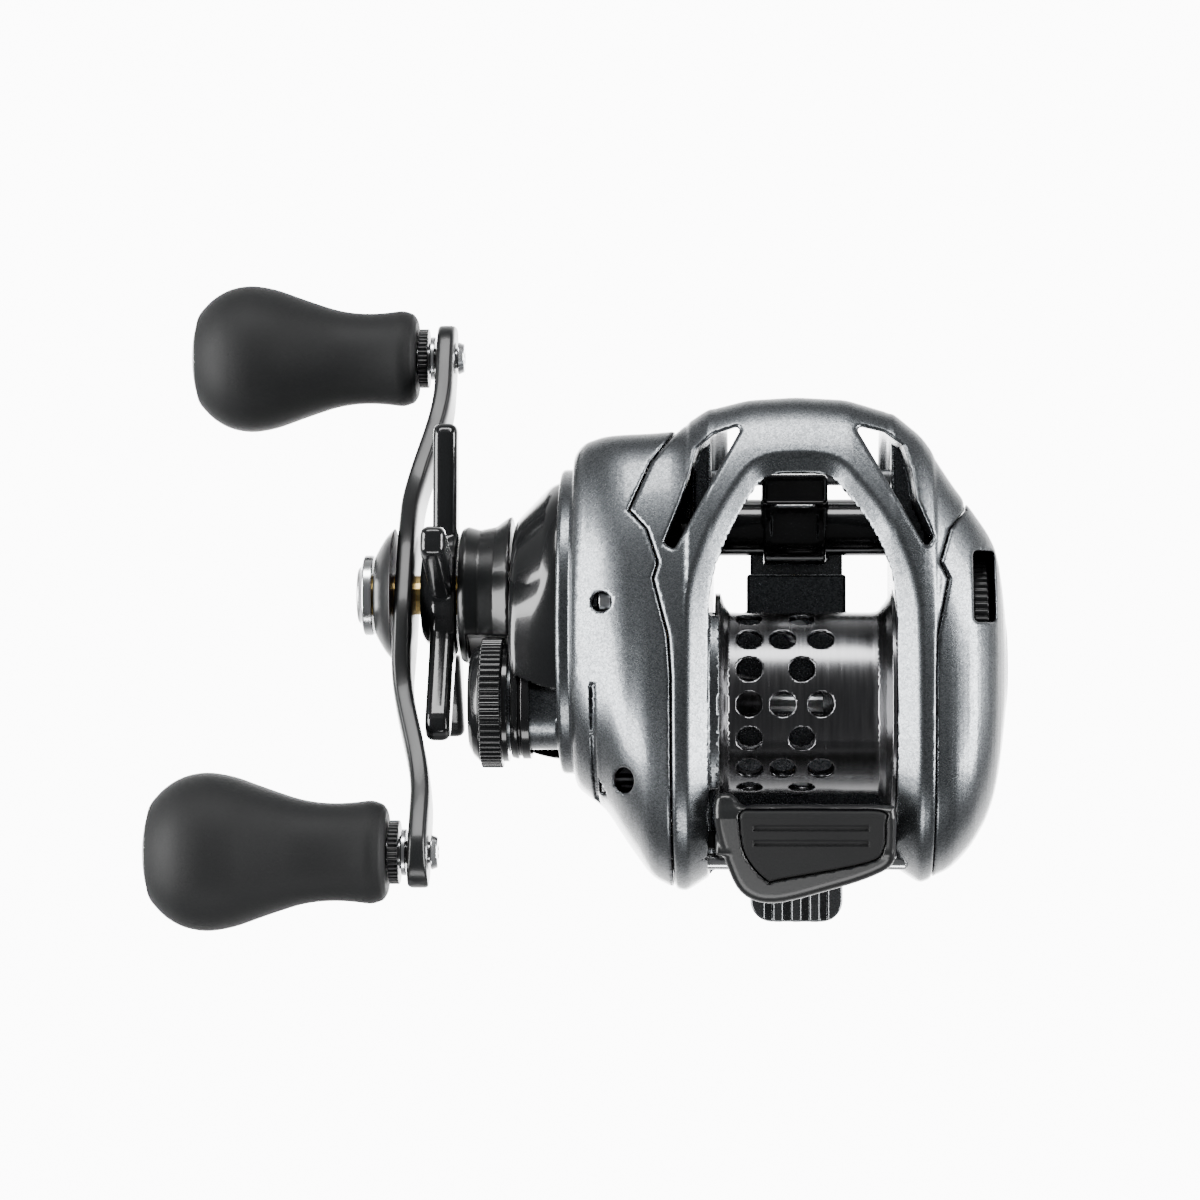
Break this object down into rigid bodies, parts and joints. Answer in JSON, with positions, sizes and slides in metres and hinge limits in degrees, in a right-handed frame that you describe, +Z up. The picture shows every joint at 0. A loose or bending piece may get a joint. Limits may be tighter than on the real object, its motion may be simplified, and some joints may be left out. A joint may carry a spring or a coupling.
{
  "type": "baitcasting reel",
  "caption": "Low-profile baitcasting fishing reel with a double-knob crank, star drag, geared spool, level wind, thumb bar clutch and brake dial.",
  "frame": {"origin": "on the underside of the reel foot, below the middle of the spool axis", "axes": "+X along the spool axis to the palm side, away from the crank; +Y forward along the rod to its tip; +Z up off the reel seat"},
  "size_m": [0.1266, 0.0992, 0.0716],
  "materials": {
    "body_paint": "metallic grey flake paint, satin gloss",
    "black_gloss": "gloss black",
    "black_satin": "satin black anodised aluminium",
    "grip_rubber": "matt moulded rubber",
    "silver": "bright machined",
    "steel": "ground stainless",
    "brass": "machined",
    "dark_aluminium": "polished dark anodised",
    "carbon": "woven carbon friction disc",
    "nylon": "moulded black nylon"
  },
  "bodies": {
    "frame_body": {"frame": "body_paint", "reel_foot": "body_paint", "foot_screw_1": "steel", "foot_screw_2": "steel", "gear_side_plate": "body_paint", "side_plate_screw_1": "steel", "side_plate_screw_2": "steel", "gear_cover": "black_gloss", "shaft_boss": "black_satin", "roller_clutch": "steel", "drive_shaft_bearing": "steel", "pinion_bearing": "steel", "spool_bearing_gear": "steel", "cast_collar": "black_gloss", "level_wind_tube": "black_gloss", "guide_rail": "steel", "worm_bushing": "brass", "rear_pillar": "silver", "yoke_post_1": "steel", "yoke_post_2": "steel", "yoke_spring_1": "steel", "yoke_spring_2": "steel"},
    "crank_body": {"drive_shaft": "brass", "drive_gear": "brass", "drag_washer": "carbon", "key_washer": "steel", "clutch_sleeve": "steel", "level_wind_gear": "brass", "handle_arm": "black_satin", "handle_nut": "black_satin", "nut_retainer": "silver", "knob_post_1": "silver", "knob_post_2": "silver"},
    "star_body": {"star_drag": "black_satin"},
    "knob_body_1": {"knob_grip_1": "grip_rubber", "knob_cap_1": "silver", "knob_collar_1": "black_satin"},
    "knob_body_2": {"knob_grip_2": "grip_rubber", "knob_cap_2": "silver", "knob_collar_2": "black_satin"},
    "spool_body": {"spool": "dark_aluminium", "spool_shaft": "steel", "spool_pin": "steel", "brake_inductor": "silver"},
    "yoke_body": {"clutch_yoke": "nylon"},
    "pinion_body": {"pinion_gear": "brass"},
    "thumb_body": {"thumb_bar": "black_satin", "thumb_pad": "grip_rubber"},
    "cam_body": {"clutch_cam": "steel"},
    "worm_body": {"worm_shaft": "steel", "worm_gear": "nylon"},
    "guide_body": {"line_guide": "black_gloss", "guide_eye": "silver"},
    "pawl_body": {"pawl": "brass"},
    "cast_body": {"cast_control_cap": "black_gloss"},
    "palm_body": {"palm_side_cover": "body_paint", "brake_case": "nylon", "magnet_ring": "steel", "spool_bearing_palm": "steel"},
    "dial_body": {"brake_dial": "nylon"}
  },
  "joints": [
    {"name": "crank_turn", "type": "hinge", "parent": "frame_body", "child": "crank_body", "pos_m": [0, 0.0162, 0.0135], "axis": [1, 0, 0], "continuous": true},
    {"name": "star_drag_turn", "type": "hinge", "parent": "crank_body", "child": "star_body", "pos_m": [0, 0.0162, 0.0135], "axis": [1, 0, 0], "range_deg": [-360, 360]},
    {"name": "knob_spin_1", "type": "hinge", "parent": "crank_body", "child": "knob_body_1", "pos_m": [0, -0.02154, 0.03801], "axis": [1, 0, 0], "continuous": true},
    {"name": "knob_spin_2", "type": "hinge", "parent": "crank_body", "child": "knob_body_2", "pos_m": [0, 0.05394, -0.01101], "axis": [1, 0, 0], "continuous": true},
    {"name": "spool_spin", "type": "hinge", "parent": "frame_body", "child": "spool_body", "pos_m": [0, 0, 0.022], "axis": [1, 0, 0], "continuous": true},
    {"name": "yoke_slide", "type": "slide", "parent": "frame_body", "child": "yoke_body", "axis": [-1, 0, 0], "range_m": [0, 0.0016], "deforming": ["yoke_spring_1", "yoke_spring_2"]},
    {"name": "pinion_spin", "type": "hinge", "parent": "yoke_body", "child": "pinion_body", "pos_m": [0, 0, 0.022], "axis": [1, 0, 0], "continuous": true},
    {"name": "thumb_bar_press", "type": "slide", "parent": "frame_body", "child": "thumb_body", "axis": [0, 0, -1], "range_m": [0, 0.0035]},
    {"name": "clutch_cam_turn", "type": "hinge", "parent": "frame_body", "child": "cam_body", "pos_m": [0, 0, 0.022], "axis": [1, 0, 0], "range_deg": [0, 9.3]},
    {"name": "worm_spin", "type": "hinge", "parent": "frame_body", "child": "worm_body", "pos_m": [0, 0.0265, 0.0105], "axis": [1, 0, 0], "continuous": true},
    {"name": "line_guide_travel", "type": "slide", "parent": "frame_body", "child": "guide_body", "axis": [1, 0, 0], "range_m": [-0.0065, 0.0085]},
    {"name": "pawl_swivel", "type": "hinge", "parent": "guide_body", "child": "pawl_body", "pos_m": [-0.0011, 0.0265, 0.005], "axis": [0, 0, 1], "range_deg": [-25, 25]},
    {"name": "cast_control_turn", "type": "hinge", "parent": "frame_body", "child": "cast_body", "pos_m": [0, 0, 0.022], "axis": [1, 0, 0], "range_deg": [-360, 360]},
    {"name": "palm_cover_pull", "type": "slide", "parent": "frame_body", "child": "palm_body", "axis": [1, 0, 0], "range_m": [0, 0.01]},
    {"name": "brake_dial_turn", "type": "hinge", "parent": "palm_body", "child": "dial_body", "pos_m": [0.0261, 0.009, 0.0206], "axis": [1, 0, 0], "range_deg": [-135, 135]}
  ],
  "couplings": [
    {"joint": "spool_spin", "follows": "crank_turn", "ratio": -6.25},
    {"joint": "pinion_spin", "follows": "crank_turn", "ratio": -6.25},
    {"joint": "worm_spin", "follows": "crank_turn", "ratio": -1.25},
    {"joint": "yoke_slide", "follows": "thumb_bar_press", "ratio": 0.43},
    {"joint": "clutch_cam_turn", "follows": "thumb_bar_press", "rad_per_m": 45.7}
  ]
}
